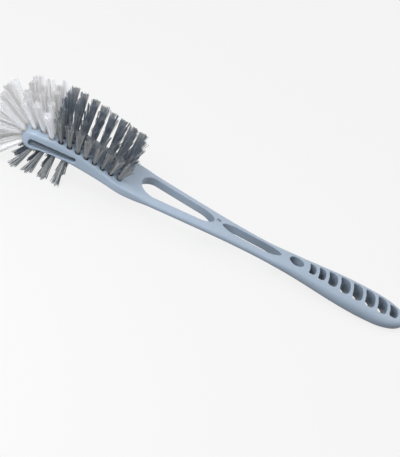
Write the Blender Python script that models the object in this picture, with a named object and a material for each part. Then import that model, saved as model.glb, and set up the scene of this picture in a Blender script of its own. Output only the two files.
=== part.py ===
"""Toilet brush: a one-piece moulded head and handle, set with tufts of bristle.

The brush is built along its own line: x runs from the nose of the head to the
end of the grip, z is height above the back of the grip on the bristle side,
and y runs across. At the end the whole brush is pitched and moved so that it
lies on its back on z = 0, on the cut tips of the lowest tufts and on the grip.
"""

import math

import bpy
from mathutils import Matrix, Vector

# Lengths along the brush in metres, one after another from the nose to the end
FIELD_LENGTH = 0.0950
FIELD_TO_NECK = 0.0030
NECK_TO_SLOT = 0.0130
FRONT_SLOT_LENGTH = 0.0710
SLOT_WEB = 0.0085
REAR_SLOT_LENGTH = 0.0575
SLOT_TO_HOLE = 0.0150
HOLE_TO_RIB = 0.0108
WINDOWS_LENGTH = 0.0908
RIB_TO_END = 0.0084

# Rounded ends, and places within those lengths
NOSE_LENGTH = 0.0135
CHIN_LENGTH = 0.0125
END_ROUND_LENGTH = 0.0300
END_TOP_LENGTH = 0.0110
FACE_PEAK_X = 0.0310
HEAD_MIDDLE_X = 0.0500
NECK_TO_SHOULDER = 0.0290
WAIST_TO_SLOT_END = 0.0160
GRIP_TO_END = 0.0450
GRIP_REST_TO_END = 0.0270

# Places along the brush, from the nose
NECK_X = FIELD_LENGTH + FIELD_TO_NECK
SHOULDER_X = NECK_X + NECK_TO_SHOULDER
FRONT_SLOT_START_X = NECK_X + NECK_TO_SLOT
FRONT_SLOT_END_X = FRONT_SLOT_START_X + FRONT_SLOT_LENGTH
REAR_SLOT_START_X = FRONT_SLOT_END_X + SLOT_WEB
REAR_SLOT_END_X = REAR_SLOT_START_X + REAR_SLOT_LENGTH
WAIST_X = REAR_SLOT_END_X - WAIST_TO_SLOT_END
ROUND_HOLE_X = REAR_SLOT_END_X + SLOT_TO_HOLE
FIRST_RIB_X = ROUND_HOLE_X + HOLE_TO_RIB
LAST_RIB_X = FIRST_RIB_X + WINDOWS_LENGTH
BODY_LENGTH = LAST_RIB_X + RIB_TO_END
GRIP_X = BODY_LENGTH - GRIP_TO_END
GRIP_REST_X = BODY_LENGTH - GRIP_REST_TO_END

# Half widths of the moulding
HEAD_HALF_WIDTH = 0.0210
NECK_HALF_WIDTH = 0.0262
WAIST_HALF_WIDTH = 0.0137
GRIP_HALF_WIDTH = 0.0205
END_HALF_WIDTH = 0.0200

# Heights of the moulding's top and back, above the back of the grip
NOSE_HEIGHT = 0.0048
NOSE_TOP = 0.0156
HEAD_TOP = 0.0173
FIELD_END_TOP = 0.0115
SHOULDER_TOP = 0.0109
WAIST_TOP = 0.01075
HOLE_TOP = 0.0129
GRIP_TOP = 0.0147
END_TOP = 0.0136
CHIN_BACK = -0.0036
HEAD_BACK = 0.0022
NECK_BACK = 0.0020
SHOULDER_BACK = 0.00255
WAIST_BACK = 0.0024
HOLE_BACK = 0.0012
GRIP_BACK = -0.0005
GRIP_REST_BACK = 0.0002
END_BACK = 0.0036

# Squareness of the cross-section: 2 is an ellipse, more is a rounded box
NOSE_SQUARENESS = 6.0
HEAD_SQUARENESS = 9.0
SHOULDER_SQUARENESS = 2.8
WAIST_SQUARENESS = 2.6
GRIP_SQUARENESS = 2.8
END_SQUARENESS = 2.5
# Squareness in plan of the nose and of the end of the grip
NOSE_PLAN_SQUARENESS = 3.0
END_PLAN_SQUARENESS = 2.0

# The two slots and the round hole of the handle
FRONT_SLOT_WIDE_HALF = 0.0152
FRONT_SLOT_WIDE_ROUND = 0.0130
FRONT_SLOT_NARROW_HALF = 0.0104
FRONT_SLOT_NARROW_ROUND = 0.0170
REAR_SLOT_HALF = 0.0061
REAR_SLOT_ROUND = 0.0170
ROUND_HOLE_RADIUS = 0.0068
RIM_CHAMFER = 0.0009

# The windows of the grip, between arched ribs
RIB_THICKNESS = 0.0034
RAIL_THICKNESS = 0.0076
RIB_BULGE = 0.0014
WINDOW_SQUARENESS = 4.0

# The blind pocket in each side of the head
POCKET_FRONT_X = 0.0117
POCKET_FRONT_HEIGHT = 0.0042
POCKET_FRONT_HALF = 0.0031
POCKET_REAR_X = 0.0497
POCKET_REAR_HEIGHT = 0.0086
POCKET_REAR_HALF = 0.0018
POCKET_DEPTH = 0.0055

# The rows of tufts across the bristle face and the back
ROW_PITCH = 0.0083
FIRST_GREY_ROW_X = 0.0333
GREY_ROWS = 8
GREY_TUFTS_ACROSS = 5
WHITE_TUFTS_ACROSS = (5, 4, 4)
TUFT_PITCH_ACROSS = 0.0086
RIM_ROWS = 4
RIM_TUFTS_ACROSS = 3
RIM_FIRST_ROW_X = 0.0148
RIM_ROW_PITCH = 0.0094
RIM_TUFT_PITCH_ACROSS = 0.0120
# The tiers of single tufts round the nose, from its top down: 1 above, -1 below
NOSE_TUFTS_ACROSS = (4, 3, 4)
NOSE_SIDES = (1, -1, -1)

# One tuft, the slice of plastic that it stands on, and the seat cut for the slice
TUFT_RADIUS = 0.0024
SLICE_RIM = 0.0004
SLICE_DEPTH = 0.0026
SEAT_CLEARANCE = 0.0003
STRAND_ROOT_DEPTH = 0.0006
TIP_RADIUS = 0.0042
RIM_TIP_RADIUS = 0.0042
STRANDS_IN_TUFT = 5

# Bristle lengths from the face of the head
WHITE_LENGTH = 0.0345
NOSE_TUFT_LENGTH = 0.0370
GREY_FIRST_LENGTH = 0.0335
GREY_LAST_LENGTH = 0.0285
RIM_LENGTH = 0.0310

# Bristle angles in degrees: lean along the brush, splay of the outer tufts
GREY_FIRST_LEAN = -22.0
GREY_LAST_LEAN = 8.0
WHITE_LEAN_STEP = -5.0
FACE_SPLAY = 29.0
RIM_FIRST_LEAN = -22.0
RIM_LAST_LEAN = 6.0
RIM_SPLAY = 15.0
NOSE_LEANS = (-61.0, -96.0, -134.0)

# How the brush lies: on the cut tips of the rim tufts and a flat land on the grip
RIM_TIP_X = 0.0250
RIM_TIP_HEIGHT = -0.0230
REST_LAND_DEPTH = 0.0006
CUTTER_OVERRUN = 0.0100

# Stations between two named places: share of the way, share of the change
HEAD_TO_NECK_SHARES = ((0.35, 0.17), (0.67, 0.50), (0.85, 0.85))
NECK_TO_WAIST_SHARES = ((0.20, 0.145), (0.32, 0.306), (0.56, 0.626), (0.80, 0.901))
WAIST_TO_GRIP_SHARES = ((0.23, 0.01), (0.40, 0.17), (0.56, 0.46), (0.73, 0.77), (0.88, 0.95))
FACE_FALL_SHARES = ((0.30, 0.22), (0.50, 0.46), (0.78, 0.84))
CHIN_RISE_SHARES = ((0.20, 0.48), (0.42, 0.72), (0.68, 0.88))
# Centre lines of the grip's ribs, from the first rib to the last
RIB_SHARES = (0.0, 0.101, 0.206, 0.333, 0.470, 0.608, 0.745, 0.880, 1.0)
# Places of the tiers of nose tufts along the nose
NOSE_TIER_SHARES = (0.120, 0.035, 0.320)
# How far a strand's inner edge stands from the tuft's middle, and its side gaps
ROOT_INNER_SHARE = 0.12
TIP_INNER_SHARE = 0.24
STRAND_ARC_SHARE = 0.88
STRAND_TURN_SHARE = 0.5
RAGGED_SHARE = 0.07
SEAT_FLARE_SHARE = 1.0
BEND_MIDDLE_SHARE = 0.5
FIRST_SECTION_SHARE = 0.12
GOLDEN_SHARE = 0.618034

# Counts that set how fine the faceted surfaces are
BODY_STATIONS = 52
END_STATIONS = 10
SECTION_POINTS = 24
ARC_STEPS = 10
ROUND_HOLE_POINTS = 24
SLICE_POINTS = 16
WINDOW_POINTS = 20
SMOOTH_ANGLE = math.radians(35.0)

COLOURS = {
    "moulding": (0.36, 0.45, 0.55, 1.0),
    "grey_bristle": (0.13, 0.145, 0.155, 1.0),
    "white_bristle": (0.62, 0.63, 0.66, 1.0),
}
ROUGHNESS_SHARES = {"moulding": 0.42, "grey_bristle": 0.55, "white_bristle": 0.45}


def mix(start, end, share):
    """The value that lies the given share of the way from start to end."""
    return start + (end - start) * share


def half_of(value):
    """Half of a length."""
    return mix(0.0, value, 0.5)


def stations_between(start, end, shares):
    """Stations (x, value) between two others, at hand-chosen shares of the way."""
    return [
        (mix(start[0], end[0], along), mix(start[1], end[1], change))
        for along, change in shares
    ]


def smooth_curve(stations):
    """A smooth function of x through stations, which never swings past a value."""
    xs = [x for x, value in stations]
    values = [value for x, value in stations]
    steps = [after - before for before, after in zip(xs, xs[1:])]
    slopes = [(values[i + 1] - values[i]) / steps[i] for i in range(len(steps))]
    tangents = [slopes[0]]
    for before, after in zip(slopes, slopes[1:]):
        same_way = before * after > 0.0
        tangents.append(2.0 * before * after / (before + after) if same_way else 0.0)
    tangents.append(slopes[-1])

    def value_at(x):
        index = 0
        while index < len(steps) - 1 and x > xs[index + 1]:
            index += 1
        share = min(max((x - xs[index]) / steps[index], 0.0), 1.0)
        square = share * share
        cube = square * share
        return (
            (2.0 * cube - 3.0 * square + 1.0) * values[index]
            + (cube - 2.0 * square + share) * steps[index] * tangents[index]
            + (3.0 * square - 2.0 * cube) * values[index + 1]
            + (cube - square) * steps[index] * tangents[index + 1]
        )

    return value_at


def width_stations():
    """Half widths along the brush, before its two ends are rounded in plan."""
    head = (HEAD_MIDDLE_X, HEAD_HALF_WIDTH)
    neck = (NECK_X, NECK_HALF_WIDTH)
    waist = (WAIST_X, WAIST_HALF_WIDTH)
    grip = (GRIP_X, GRIP_HALF_WIDTH)
    return (
        [(0.0, HEAD_HALF_WIDTH), head]
        + stations_between(head, neck, HEAD_TO_NECK_SHARES)
        + [neck]
        + stations_between(neck, waist, NECK_TO_WAIST_SHARES)
        + [waist]
        + stations_between(waist, grip, WAIST_TO_GRIP_SHARES)
        + [grip, (BODY_LENGTH, END_HALF_WIDTH)]
    )


def top_stations():
    """Heights of the bristle side along the brush."""
    peak = (FACE_PEAK_X, HEAD_TOP)
    field_end = (FIELD_LENGTH, FIELD_END_TOP)
    return (
        [(0.0, NOSE_TOP), (NOSE_LENGTH, NOSE_TOP), peak]
        + stations_between(peak, field_end, FACE_FALL_SHARES)
        + [field_end, (SHOULDER_X, SHOULDER_TOP), (WAIST_X, WAIST_TOP)]
        + [(ROUND_HOLE_X, HOLE_TOP), (GRIP_X, GRIP_TOP), (BODY_LENGTH, END_TOP)]
    )


def back_stations():
    """Heights of the back along the brush, from the chin to the end of the grip."""
    chin = (CHIN_LENGTH, CHIN_BACK)
    head = (HEAD_MIDDLE_X, HEAD_BACK)
    return (
        [(0.0, CHIN_BACK), chin]
        + stations_between(chin, head, CHIN_RISE_SHARES)
        + [head, (NECK_X, NECK_BACK), (SHOULDER_X, SHOULDER_BACK), (WAIST_X, WAIST_BACK)]
        + [(ROUND_HOLE_X, HOLE_BACK), (GRIP_X, GRIP_BACK), (GRIP_REST_X, GRIP_REST_BACK)]
        + [(BODY_LENGTH, END_BACK)]
    )


def squareness_stations():
    """Squareness of the section along the brush."""
    return [
        (0.0, NOSE_SQUARENESS),
        (NOSE_LENGTH, HEAD_SQUARENESS),
        (NECK_X, HEAD_SQUARENESS),
        (SHOULDER_X, SHOULDER_SQUARENESS),
        (WAIST_X, WAIST_SQUARENESS),
        (GRIP_X, GRIP_SQUARENESS),
        (BODY_LENGTH, END_SQUARENESS),
    ]


WIDTH_CURVE = smooth_curve(width_stations())
TOP_CURVE = smooth_curve(top_stations())
BACK_CURVE = smooth_curve(back_stations())
SQUARENESS_CURVE = smooth_curve(squareness_stations())


def fullness(distance, length, squareness=2.0):
    """How full a rounded end is: 0 at its tip, 1 from the given length inward."""
    share = min(max(distance / length, 0.0), 1.0)
    return (1.0 - (1.0 - share) ** squareness) ** (1.0 / squareness)


def half_width(x):
    """Half the width of the moulding at x."""
    nose = fullness(x, NOSE_LENGTH, NOSE_PLAN_SQUARENESS)
    end = fullness(BODY_LENGTH - x, END_ROUND_LENGTH, END_PLAN_SQUARENESS)
    return WIDTH_CURVE(x) * nose * end


def rounded_height(x, height_curve, nose_round):
    """A height of the moulding at x, drawn in to the tips of the nose and the grip."""
    from_nose = mix(NOSE_HEIGHT, height_curve(x), fullness(x, nose_round))
    end_middle = mix(TOP_CURVE(x), BACK_CURVE(x), 0.5)
    return mix(end_middle, from_nose, fullness(BODY_LENGTH - x, END_TOP_LENGTH))


def top_height(x):
    """Height of the bristle side at x."""
    return rounded_height(x, TOP_CURVE, NOSE_LENGTH)


def back_height(x):
    """Height of the back at x."""
    return rounded_height(x, BACK_CURVE, CHIN_LENGTH)


def squared(value, squareness):
    """A sine or cosine pushed outward, so that a circle becomes a rounded box."""
    return math.copysign(abs(value) ** (2.0 / squareness), value)


def surface_point(x, turn_share):
    """The point of the moulding at x, turned from its left side towards its top."""
    angle = 2.0 * math.pi * turn_share
    squareness = SQUARENESS_CURVE(x)
    across = half_width(x) * squared(math.cos(angle), squareness)
    middle = mix(back_height(x), top_height(x), 0.5)
    half_height = half_of(top_height(x) - back_height(x))
    return Vector((x, across, middle + half_height * squared(math.sin(angle), squareness)))


def face_point(x, across, side):
    """The point of the top (side 1) or of the back (side -1) at x and across."""
    squareness = SQUARENESS_CURVE(x)
    middle = mix(back_height(x), top_height(x), 0.5)
    half_height = half_of(top_height(x) - back_height(x))
    sunk = min(abs(across) / half_width(x), 1.0) ** squareness
    rise = half_height * (1.0 - sunk) ** (1.0 / squareness)
    return Vector((x, across, middle + side * rise))


def face_normal(x, across, side):
    """The outward direction of the top or the back at x and across."""
    step = min(half_of(TUFT_RADIUS), half_of(x))
    along = face_point(x + step, across, side) - face_point(x - step, across, side)
    sideways = face_point(x, across + step, side) - face_point(x, across - step, side)
    return along.cross(sideways).normalized() * side


def make_material(name):
    """A Principled material in the colour and finish of one kind of plastic."""
    material = bpy.data.materials.new(name)
    material.use_nodes = True
    material.diffuse_color = COLOURS[name]
    shader = material.node_tree.nodes["Principled BSDF"]
    shader.inputs["Base Color"].default_value = COLOURS[name]
    shader.inputs["Roughness"].default_value = ROUGHNESS_SHARES[name]
    shader.inputs["Metallic"].default_value = 0.0
    return material


def loft_faces(ring_count, points_in_ring, first_point):
    """Faces of a closed solid through rings of points, numbered from first_point."""
    last = first_point + (ring_count - 1) * points_in_ring
    faces = [tuple(range(first_point + points_in_ring - 1, first_point - 1, -1))]
    for low in range(first_point, last, points_in_ring):
        high = low + points_in_ring
        for index in range(points_in_ring):
            after = (index + 1) % points_in_ring
            faces.append((low + index, low + after, high + after, high + index))
    faces.append(tuple(range(last, last + points_in_ring)))
    return faces


def lofted(name, solids, collection):
    """One object of closed solids, each given as rings that turn about its length."""
    points = []
    faces = []
    for rings in solids:
        faces += loft_faces(len(rings), len(rings[0]), len(points))
        points += [point for ring in rings for point in ring]
    mesh = bpy.data.meshes.new(name)
    mesh.from_pydata(points, [], faces)
    mesh.shade_smooth()
    mesh.set_sharp_from_angle(angle=SMOOTH_ANGLE)
    solid = bpy.data.objects.new(name, mesh)
    collection.objects.link(solid)
    return solid


def combine(solid, tool, operation):
    """Cuts the tool from the solid, or joins it on, and hides the tool."""
    tool.hide_render = True
    tool.display_type = "WIRE"
    modifier = solid.modifiers.new(tool.name, "BOOLEAN")
    modifier.operation = operation
    modifier.solver = "EXACT"
    modifier.object = tool


def slot_outline(start, end, start_half, end_half, start_round, end_round):
    """Anticlockwise outline of a slot along x, with half-ellipse ends."""
    ends = (
        (start + start_round, start_round, start_half, 0.5),
        (end - end_round, end_round, end_half, 1.5),
    )
    return [
        (centre + length * math.cos(angle), half * math.sin(angle))
        for centre, length, half, first_turn in ends
        for angle in (math.pi * (first_turn + k / ARC_STEPS) for k in range(ARC_STEPS + 1))
    ]


def round_outline(x, radius, count):
    """Anticlockwise outline of a round hole."""
    turns = [2.0 * math.pi * index / count for index in range(count)]
    return [(x + radius * math.cos(turn), radius * math.sin(turn)) for turn in turns]


def window_outline(rib_before, rib_after):
    """Outline of a grip window between two ribs, bent towards the end of the grip."""
    centre = mix(rib_before, rib_after, 0.5)
    half_length = half_of(rib_after - rib_before - RIB_THICKNESS)
    half_across = half_width(centre) - RAIL_THICKNESS
    outline = []
    for turn in (2.0 * math.pi * index / WINDOW_POINTS for index in range(WINDOW_POINTS)):
        across = squared(math.sin(turn), WINDOW_SQUARENESS)
        bend = RIB_BULGE * (BEND_MIDDLE_SHARE - across * across)
        along = half_length * squared(math.cos(turn), WINDOW_SQUARENESS) + bend
        outline.append((centre + along, half_across * across))
    return outline


def grown(outline, margin):
    """An anticlockwise outline moved outward by a margin."""
    result = []
    for index, (x, y) in enumerate(outline):
        before = Vector(outline[index - 1])
        after = Vector(outline[(index + 1) % len(outline)])
        along = (after - before).normalized()
        result.append((x + along.y * margin, y - along.x * margin))
    return result


def through_cutter(name, outline, cutters):
    """A cutter through the moulding that chamfers the rims at its top and back."""
    flared = grown(outline, RIM_CHAMFER + CUTTER_OVERRUN)
    places = [x for x, y in outline]
    below = [(x, y, back_height(at) - CUTTER_OVERRUN) for (x, y), at in zip(flared, places)]
    above = [(x, y, top_height(at) + CUTTER_OVERRUN) for (x, y), at in zip(flared, places)]
    wall_foot = [(x, y, face_point(x, y, -1.0).z + RIM_CHAMFER) for x, y in outline]
    wall_head = [(x, y, face_point(x, y, 1.0).z - RIM_CHAMFER) for x, y in outline]
    return lofted(name, [[below, wall_foot, wall_head, above]], cutters)


def opening_outlines():
    """The outlines of everything that goes right through the handle, by name."""
    outlines = {
        "front_slot": slot_outline(
            FRONT_SLOT_START_X,
            FRONT_SLOT_END_X,
            FRONT_SLOT_WIDE_HALF,
            FRONT_SLOT_NARROW_HALF,
            FRONT_SLOT_WIDE_ROUND,
            FRONT_SLOT_NARROW_ROUND,
        ),
        "rear_slot": slot_outline(
            REAR_SLOT_START_X,
            REAR_SLOT_END_X,
            REAR_SLOT_HALF,
            REAR_SLOT_HALF,
            REAR_SLOT_ROUND,
            REAR_SLOT_ROUND,
        ),
        "round_hole": round_outline(ROUND_HOLE_X, ROUND_HOLE_RADIUS, ROUND_HOLE_POINTS),
    }
    ribs = [mix(FIRST_RIB_X, LAST_RIB_X, share) for share in RIB_SHARES]
    for index, (before, after) in enumerate(zip(ribs, ribs[1:])):
        outlines["window_%d" % (index + 1)] = window_outline(before, after)
    return outlines


def pocket_outline():
    """Outline, in x and height, of the slanting pocket in the side of the head."""
    run = POCKET_REAR_X - POCKET_FRONT_X
    climb = POCKET_REAR_HEIGHT - POCKET_FRONT_HEIGHT
    slant = math.atan2(climb, run)
    level = slot_outline(
        0.0,
        math.hypot(run, climb),
        POCKET_FRONT_HALF,
        POCKET_REAR_HALF,
        POCKET_FRONT_HALF,
        POCKET_REAR_HALF,
    )
    return [
        (
            POCKET_FRONT_X + along * math.cos(slant) - off * math.sin(slant),
            POCKET_FRONT_HEIGHT + along * math.sin(slant) + off * math.cos(slant),
        )
        for along, off in level
    ]


def pocket_cutters(cutters):
    """The two cutters that sink the pockets into the sides of the head."""
    outline = pocket_outline()
    inner = HEAD_HALF_WIDTH - POCKET_DEPTH
    outer = HEAD_HALF_WIDTH + CUTTER_OVERRUN
    sides = {"left_pocket": (outer, inner), "right_pocket": (-inner, -outer)}
    return [
        lofted(name, [[[(x, y, z) for x, z in outline] for y in ends]], cutters)
        for name, ends in sides.items()
    ]


def body_places():
    """Places of the sections along the brush, close together at the rounded ends."""
    turns = [mix(FIRST_SECTION_SHARE, 1.0, index / END_STATIONS) for index in range(END_STATIONS)]
    shares = [1.0 - math.cos(half_of(math.pi) * turn) for turn in turns]
    nose = [NOSE_LENGTH * share for share in shares]
    end = [BODY_LENGTH - END_ROUND_LENGTH * share for share in shares]
    straight_end = BODY_LENGTH - END_ROUND_LENGTH
    middle = [
        mix(NOSE_LENGTH, straight_end, index / BODY_STATIONS)
        for index in range(BODY_STATIONS + 1)
    ]
    return nose + middle + end[::-1]


def make_body(parts, cutters):
    """The moulding: one lofted solid with its slots, hole, windows and pockets."""
    turns = [index / SECTION_POINTS for index in range(SECTION_POINTS)]
    rings = [[surface_point(x, turn) for turn in turns] for x in body_places()]
    body = lofted("brush_body", [rings], parts)
    for name, outline in opening_outlines().items():
        combine(body, through_cutter(name + "_cutter", outline, cutters), "DIFFERENCE")
    for cutter in pocket_cutters(cutters):
        combine(body, cutter, "DIFFERENCE")
    return body


def seat_frame(origin, outward):
    """A placing whose z points out of the surface and whose y lies across the brush."""
    along = Vector((0.0, 1.0, 0.0)).cross(outward).normalized()
    across = outward.cross(along)
    rotation = Matrix((along, across, outward)).transposed()
    return Matrix.Translation(origin) @ rotation.to_4x4()


def bar_ring(half_span, radius, level):
    """A ring round a row of tufts at a level above the face, round for a lone tuft."""
    if half_span == 0.0:
        return [(x, y, level) for x, y in round_outline(0.0, radius, SLICE_POINTS)]
    length = half_span + radius
    bar = slot_outline(-length, length, radius, radius, radius, radius)
    return [(-off, along, level) for along, off in bar]


def slice_rings(half_span):
    """The rounded bar of plastic that carries a row of tufts, flush with the face."""
    radius = TUFT_RADIUS + SLICE_RIM
    return [bar_ring(half_span, radius, level) for level in (-SLICE_DEPTH, 0.0)]


def seat_rings(half_span):
    """The seat of a slice, whose mouth opens where the face rises beside it."""
    radius = TUFT_RADIUS + SLICE_RIM + SEAT_CLEARANCE
    mouth = radius + CUTTER_OVERRUN * SEAT_FLARE_SHARE
    return [
        bar_ring(half_span, radius, -SLICE_DEPTH - SEAT_CLEARANCE),
        bar_ring(half_span, radius, 0.0),
        bar_ring(half_span, mouth, CUTTER_OVERRUN),
    ]


def strand_rings(root, direction, length, turn_share, tip_radius):
    """Root and tip triangles of one strand, a wedge of its tuft that opens outward."""
    side = (Vector((1.0, 0.0, 0.0)) - direction * direction.x).normalized()
    other = direction.cross(side)
    sink = Vector((0.0, 0.0, STRAND_ROOT_DEPTH))
    wedge = 1.0 / STRANDS_IN_TUFT
    spread = half_of(wedge * STRAND_ARC_SHARE)
    foot = []
    tip = []
    for turn, inner in ((0.0, True), (-spread, False), (spread, False)):
        angle = 2.0 * math.pi * (turn_share + turn)
        root_reach = TUFT_RADIUS * (ROOT_INNER_SHARE if inner else 1.0)
        tip_reach = tip_radius * (TIP_INNER_SHARE if inner else 1.0)
        foot_offset = Vector((math.cos(angle), math.sin(angle), 0.0)) * root_reach
        tip_offset = (side * math.cos(angle) + other * math.sin(angle)) * tip_reach
        foot.append(root + foot_offset - sink)
        tip.append(root + direction * length + tip_offset)
    return [foot, tip]


def tuft_strands(root, direction, length, tip_radius, tuft_number):
    """The strands of one tuft, with unlike lengths that follow the golden share."""
    strands = []
    for strand in range(STRANDS_IN_TUFT):
        number = tuft_number * STRANDS_IN_TUFT + strand
        ragged = 1.0 - RAGGED_SHARE * ((number * GOLDEN_SHARE) % 1.0)
        turn = (strand + STRAND_TURN_SHARE * (tuft_number % 2)) / STRANDS_IN_TUFT
        strands.append(strand_rings(root, direction, length * ragged, turn, tip_radius))
    return strands


def make_tufts(name, frame, tufts, tip_radius, length, brush, collections):
    """A slice with its strands, and the seat that it leaves in the moulding.

    tufts lists (place across, direction in the brush's axes) for each tuft.
    """
    parts, cutters = collections
    half_span = max(abs(across) for across, direction in tufts)
    piece = lofted(name, [slice_rings(half_span)], parts)
    to_slice = frame.to_3x3().inverted()
    strands = []
    for number, (across, direction) in enumerate(tufts):
        root = Vector((0.0, across, 0.0))
        strands += tuft_strands(root, to_slice @ direction, length, tip_radius, number)
    bundle = lofted(name + "_strands", strands, cutters)
    seat = lofted(name + "_seat", [seat_rings(half_span)], cutters)
    combine(piece, bundle, "UNION")
    for placed in (piece, bundle, seat):
        placed.matrix_local = frame
        placed.parent = brush
    return piece, seat


def fanned(lean, splay, place_share, upward):
    """A bristle direction: leant along the brush and splayed by its place across."""
    lean_angle = math.radians(lean)
    sideways = math.tan(math.radians(splay)) * place_share
    return Vector((math.sin(lean_angle), sideways, upward * math.cos(lean_angle))).normalized()


def row_of_tufts(count, pitch, lean, splay, upward, widest):
    """Places and directions of the tufts of one row across the brush."""
    places = [pitch * (index - half_of(count - 1)) for index in range(count)]
    return [(place, fanned(lean, splay, place / widest, upward)) for place in places]


def face_rows():
    """Name, place, tufts and length of each row on the bristle face."""
    widest = TUFT_PITCH_ACROSS * half_of(GREY_TUFTS_ACROSS - 1)
    rows = []
    for index, count in enumerate(WHITE_TUFTS_ACROSS):
        x = FIRST_GREY_ROW_X - ROW_PITCH * (index + 1)
        lean = GREY_FIRST_LEAN + WHITE_LEAN_STEP * (index + 1)
        tufts = row_of_tufts(count, TUFT_PITCH_ACROSS, lean, FACE_SPLAY, 1.0, widest)
        rows.append(("white_row_%d" % (index + 1), x, tufts, WHITE_LENGTH))
    for index in range(GREY_ROWS):
        share = index / (GREY_ROWS - 1)
        x = FIRST_GREY_ROW_X + ROW_PITCH * index
        lean = mix(GREY_FIRST_LEAN, GREY_LAST_LEAN, share)
        count = GREY_TUFTS_ACROSS
        tufts = row_of_tufts(count, TUFT_PITCH_ACROSS, lean, FACE_SPLAY, 1.0, widest)
        length = mix(GREY_FIRST_LENGTH, GREY_LAST_LENGTH, share)
        rows.append(("grey_row_%d" % (index + 1), x, tufts, length))
    return rows


def make_face_rows(body, brush, collections):
    """The rows of the bristle face, each seated flush in the face."""
    pieces = []
    for name, x, tufts, length in face_rows():
        frame = seat_frame(face_point(x, 0.0, 1.0), face_normal(x, 0.0, 1.0))
        piece, seat = make_tufts(name, frame, tufts, TIP_RADIUS, length, brush, collections)
        combine(body, seat, "DIFFERENCE")
        pieces.append(piece)
    return pieces


def nose_tuft_places():
    """Place along, place across, side and direction of each single tuft of the nose."""
    widest = TUFT_PITCH_ACROSS * half_of(GREY_TUFTS_ACROSS - 1)
    pitch = TUFT_PITCH_ACROSS
    tiers = zip(NOSE_TIER_SHARES, NOSE_TUFTS_ACROSS, NOSE_SIDES, NOSE_LEANS)
    return [
        (NOSE_LENGTH * share, across, side, direction)
        for share, count, side, lean in tiers
        for across, direction in row_of_tufts(count, pitch, lean, FACE_SPLAY, 1.0, widest)
    ]


def make_nose_tufts(body, brush, ground, collections):
    """The single tufts that fan out round the nose, cut flat where they reach the ground."""
    length = NOSE_TUFT_LENGTH
    pieces = []
    for x, across, side, direction in nose_tuft_places():
        frame = seat_frame(face_point(x, across, side), face_normal(x, across, side))
        name = "nose_tuft_%d" % (len(pieces) + 1)
        tufts = [(0.0, direction)]
        piece, seat = make_tufts(name, frame, tufts, TIP_RADIUS, length, brush, collections)
        combine(body, seat, "DIFFERENCE")
        combine(piece, ground, "DIFFERENCE")
        pieces.append(piece)
    return pieces


def make_rim_rows(body, brush, ground, collections):
    """The short rows on the back of the head, cut flat where the brush lies on them."""
    widest = RIM_TUFT_PITCH_ACROSS * half_of(RIM_TUFTS_ACROSS - 1)
    pitch = RIM_TUFT_PITCH_ACROSS
    pieces = []
    for index in range(RIM_ROWS):
        x = RIM_FIRST_ROW_X + RIM_ROW_PITCH * index
        lean = mix(RIM_FIRST_LEAN, RIM_LAST_LEAN, index / (RIM_ROWS - 1))
        tufts = row_of_tufts(RIM_TUFTS_ACROSS, pitch, lean, RIM_SPLAY, -1.0, widest)
        frame = seat_frame(face_point(x, 0.0, -1.0), face_normal(x, 0.0, -1.0))
        name = "rim_row_%d" % (index + 1)
        piece, seat = make_tufts(name, frame, tufts, RIM_TIP_RADIUS, RIM_LENGTH, brush, collections)
        combine(body, seat, "DIFFERENCE")
        combine(piece, ground, "DIFFERENCE")
        pieces.append(piece)
    return pieces


def rest_pitch():
    """The angle between the brush's own line and what it lies on."""
    climb = back_height(GRIP_REST_X) + REST_LAND_DEPTH - RIM_TIP_HEIGHT
    return math.atan2(climb, GRIP_REST_X - RIM_TIP_X)


def make_ground_cutter(brush, cutters):
    """A slab whose top is the plane that the brush lies on."""
    reach = BODY_LENGTH
    corners = [(-reach, -reach), (reach, -reach), (reach, reach), (-reach, reach)]
    rings = [[(x, y, z) for x, y in corners] for z in (-RIM_LENGTH, 0.0)]
    ground = lofted("ground_cutter", [rings], cutters)
    ground.matrix_local = Matrix.Translation((RIM_TIP_X, 0.0, RIM_TIP_HEIGHT)) @ Matrix.Rotation(
        -rest_pitch(), 4, "Y"
    )
    ground.parent = brush
    return ground


def world_corners(pieces):
    """Lowest and highest corner of the finished pieces, in world space."""
    graph = bpy.context.evaluated_depsgraph_get()
    points = []
    for piece in pieces:
        finished = piece.evaluated_get(graph)
        points += [finished.matrix_world @ vertex.co for vertex in finished.data.vertices]
    low = Vector([min(point[axis] for point in points) for axis in range(3)])
    high = Vector([max(point[axis] for point in points) for axis in range(3)])
    return low, high


def lay_on_back(brush, pieces):
    """Pitches the brush level on the ground, its origin under the middle of its box."""
    brush.rotation_euler = (0.0, rest_pitch(), 0.0)
    bpy.context.view_layer.update()
    low, high = world_corners(pieces)
    middle = low.lerp(high, 0.5)
    brush.location = (-middle.x, -middle.y, -low.z)


def remove_scene_objects():
    """Removes whatever objects the open file holds."""
    for obj in list(bpy.data.objects):
        bpy.data.objects.remove(obj, do_unlink=True)


def new_collection(name):
    """A collection linked to the scene."""
    collection = bpy.data.collections.new(name)
    bpy.context.scene.collection.children.link(collection)
    return collection


def main():
    """Builds the whole brush."""
    remove_scene_objects()
    parts = new_collection("toilet_brush")
    cutters = new_collection("toilet_brush_cutters")
    brush = bpy.data.objects.new("brush_frame", None)
    parts.objects.link(brush)

    body = make_body(parts, cutters)
    for solid in [body] + list(cutters.objects):
        solid.parent = brush
    ground = make_ground_cutter(brush, cutters)
    collections = (parts, cutters)
    face = make_face_rows(body, brush, collections)
    nose = make_nose_tufts(body, brush, ground, collections)
    rim = make_rim_rows(body, brush, ground, collections)
    combine(body, ground, "DIFFERENCE")

    materials = {name: make_material(name) for name in COLOURS}
    body.data.materials.append(materials["moulding"])
    for piece in face + nose + rim:
        white = piece.name.startswith(("white", "nose"))
        kind = "white_bristle" if white else "grey_bristle"
        piece.data.materials.append(materials[kind])
    lay_on_back(brush, [body] + face + nose + rim)


main()
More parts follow.
